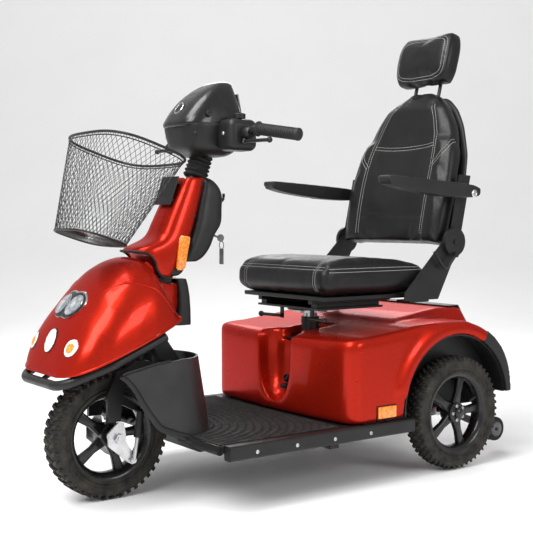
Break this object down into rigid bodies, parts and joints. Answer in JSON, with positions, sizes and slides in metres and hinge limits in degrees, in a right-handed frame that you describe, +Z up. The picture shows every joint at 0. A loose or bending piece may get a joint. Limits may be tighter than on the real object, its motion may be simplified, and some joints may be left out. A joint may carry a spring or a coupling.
{
  "type": "mobility scooter",
  "caption": "Three-wheel mobility scooter with a steered and tilting tiller, wire basket, leg shield, flat floor and a swivelling captain's seat with armrests and headrest.",
  "frame": {"origin": "on the floor under the middle of the footprint", "axes": "-Y towards the front wheel, +Y towards the rear wheels, +X to the rider's left, +Z up"},
  "size_m": [0.704, 1.537, 1.3692],
  "materials": {
    "red_shell": "metallic candy red, clear coated",
    "black_shell": "grained satin black plastic",
    "black_metal": "satin black powder coat",
    "steel": "zinc plated",
    "rim_black": "gloss black",
    "tyre": "dusty moulded tread",
    "mat_rubber": "ribbed rubber",
    "leather": "black grained leather with pale stitching",
    "amber": "amber reflector",
    "lens": "clear lens",
    "white_lens": "white reflector",
    "red_lens": "red lens",
    "grey_trim": "dark grey gloss",
    "wire": "black coated wire"
  },
  "bodies": {
    "chassis": {"chassis_frame": "black_metal", "side_rails": "black_shell", "floor_pan": "black_shell", "floor_mat": "mat_rubber", "leg_shield": "black_shell", "body_shell": "red_shell", "rear_panel": "black_shell", "mudguards": "black_shell", "tail_lights": "red_lens", "side_reflectors": "amber", "batteries": "black_shell", "controller": "grey_trim", "transaxle": "steel", "antitip_bracket": "black_metal"},
    "steering": {"fork": "black_metal", "nose_fender": "red_shell", "headlight_housing": "grey_trim", "headlight_lenses": "lens", "nose_lamps": "white_lens", "bumper_bar": "black_metal", "neck_cover": "red_shell", "tilt_bracket": "black_metal"},
    "suspension": {"axle_carriers": "steel"},
    "front_wheel": {"front_tyre": "tyre", "front_rim": "rim_black"},
    "rear_wheel_left": {"rear_tyre_left": "tyre", "rear_rim_left": "rim_black"},
    "rear_wheel_right": {"rear_tyre_right": "tyre", "rear_rim_right": "rim_black"},
    "antitip_left": {"antitip_wheel_left": "mat_rubber"},
    "antitip_right": {"antitip_wheel_right": "mat_rubber"},
    "tiller": {"tiller_column": "black_metal", "tiller_cover": "red_shell", "tiller_rear_cover": "black_shell", "tiller_reflectors": "amber", "steering_boot": "mat_rubber", "console_head": "black_shell", "handlebar": "black_metal", "grips": "mat_rubber", "basket": "wire"},
    "throttle": {"throttle_lever": "black_shell"},
    "brake": {"brake_lever": "black_metal"},
    "dial": {"speed_dial": "black_shell"},
    "horn": {"horn_button": "red_lens"},
    "key": {"ignition_key": "steel"},
    "seat_riser": {"seat_post": "steel"},
    "seat_swivel": {"seat_turntable": "black_metal"},
    "swivel_release": {"swivel_lever": "black_metal"},
    "seat": {"seat_pan": "black_metal", "seat_cushion": "leather", "recline_brackets": "black_metal"},
    "slide_release": {"slide_lever": "black_metal"},
    "backrest": {"backrest_arms": "black_metal", "backrest_pad": "leather", "backrest_shell": "black_shell"},
    "recline_release": {"recline_lever": "black_metal"},
    "headrest": {"headrest_posts": "black_metal", "headrest_pad": "leather"},
    "armrest_left": {"armrest_left": "black_shell"},
    "armrest_right": {"armrest_right": "black_shell"}
  },
  "joints": [
    {"name": "steering_turn", "type": "hinge", "parent": "chassis", "child": "steering", "pos_m": [0, -0.3535, 0.675], "axis": [0, 0.342, 0.9397], "range_deg": [-40, 40]},
    {"name": "front_suspension", "type": "slide", "parent": "steering", "child": "suspension", "axis": [0, 0.1564, 0.9877], "range_m": [0, 0.018], "stiffness_N_per_m": 30000, "springref_m": -0.02},
    {"name": "front_wheel_spin", "type": "hinge", "parent": "suspension", "child": "front_wheel", "pos_m": [0, -0.5655, 0.17], "axis": [1, 0, 0], "continuous": true},
    {"name": "rear_left_spin", "type": "hinge", "parent": "chassis", "child": "rear_wheel_left", "pos_m": [0.318, 0.4295, 0.17], "axis": [1, 0, 0], "continuous": true},
    {"name": "rear_right_spin", "type": "hinge", "parent": "chassis", "child": "rear_wheel_right", "pos_m": [-0.318, 0.4295, 0.17], "axis": [1, 0, 0], "continuous": true},
    {"name": "antitip_left_spin", "type": "hinge", "parent": "chassis", "child": "antitip_left", "pos_m": [0.22, 0.7295, 0.066], "axis": [1, 0, 0], "continuous": true},
    {"name": "antitip_right_spin", "type": "hinge", "parent": "chassis", "child": "antitip_right", "pos_m": [-0.22, 0.7295, 0.066], "axis": [1, 0, 0], "continuous": true},
    {"name": "tiller_tilt", "type": "hinge", "parent": "steering", "child": "tiller", "pos_m": [0, -0.3875, 0.63], "axis": [-1, 0, 0], "range_deg": [-4, 30]},
    {"name": "throttle_pull", "type": "hinge", "parent": "tiller", "child": "throttle", "pos_m": [0.168, -0.2295, 0.962], "axis": [0, 0.3011, 0.9536], "range_deg": [0, 14], "stiffness_Nm_per_rad": 2, "springref_deg": -5.73},
    {"name": "brake_pull", "type": "hinge", "parent": "tiller", "child": "brake", "pos_m": [-0.168, -0.2295, 0.962], "axis": [0, -0.3011, -0.9536], "range_deg": [0, 14], "stiffness_Nm_per_rad": 2, "springref_deg": -5.73},
    {"name": "speed_dial_turn", "type": "hinge", "parent": "tiller", "child": "dial", "pos_m": [0.13, -0.2195, 1.03], "axis": [0, 0, 1], "range_deg": [-130, 130]},
    {"name": "horn_press", "type": "slide", "parent": "tiller", "child": "horn", "axis": [0, 0, -1], "range_m": [0, 0.002], "stiffness_N_per_m": 600, "springref_m": -0.001},
    {"name": "key_turn", "type": "hinge", "parent": "tiller", "child": "key", "pos_m": [0, -0.2205, 0.704], "axis": [0, 0.9397, -0.342], "range_deg": [0, 60]},
    {"name": "seat_height", "type": "slide", "parent": "chassis", "child": "seat_riser", "axis": [0, 0, 1], "range_m": [0, 0.08]},
    {"name": "seat_swivel_turn", "type": "hinge", "parent": "seat_riser", "child": "seat_swivel", "pos_m": [0, 0.1345, 0.48], "axis": [0, 0, 1], "range_deg": [-90, 90]},
    {"name": "swivel_release_lift", "type": "hinge", "parent": "seat_swivel", "child": "swivel_release", "pos_m": [0.075, 0.0745, 0.452], "axis": [0, -1, 0], "range_deg": [0, 8], "stiffness_Nm_per_rad": 3, "springref_deg": -11.46},
    {"name": "seat_slide", "type": "slide", "parent": "seat_swivel", "child": "seat", "axis": [0, 1, 0], "range_m": [-0.06, 0.06]},
    {"name": "slide_release_lift", "type": "hinge", "parent": "seat_swivel", "child": "slide_release", "pos_m": [-0.075, 0.0745, 0.452], "axis": [0, 1, 0], "range_deg": [0, 8], "stiffness_Nm_per_rad": 3, "springref_deg": -11.46},
    {"name": "recline_turn", "type": "hinge", "parent": "seat", "child": "backrest", "pos_m": [0, 0.5005, 0.681], "axis": [-1, 0, 0], "range_deg": [-15, 25]},
    {"name": "recline_release_lift", "type": "hinge", "parent": "seat", "child": "recline_release", "pos_m": [0.278, 0.4965, 0.641], "axis": [-1, 0, 0], "range_deg": [-12, 0], "stiffness_Nm_per_rad": 3, "springref_deg": 11.46},
    {"name": "headrest_height", "type": "slide", "parent": "backrest", "child": "headrest", "axis": [0, 0.2419, 0.9703], "range_m": [0, 0.06]},
    {"name": "armrest_left_flip", "type": "hinge", "parent": "backrest", "child": "armrest_left", "pos_m": [0.281, 0.5325, 0.827], "axis": [-1, 0, 0], "range_deg": [0, 95]},
    {"name": "armrest_right_flip", "type": "hinge", "parent": "backrest", "child": "armrest_right", "pos_m": [-0.281, 0.5325, 0.827], "axis": [-1, 0, 0], "range_deg": [0, 95]}
  ]
}
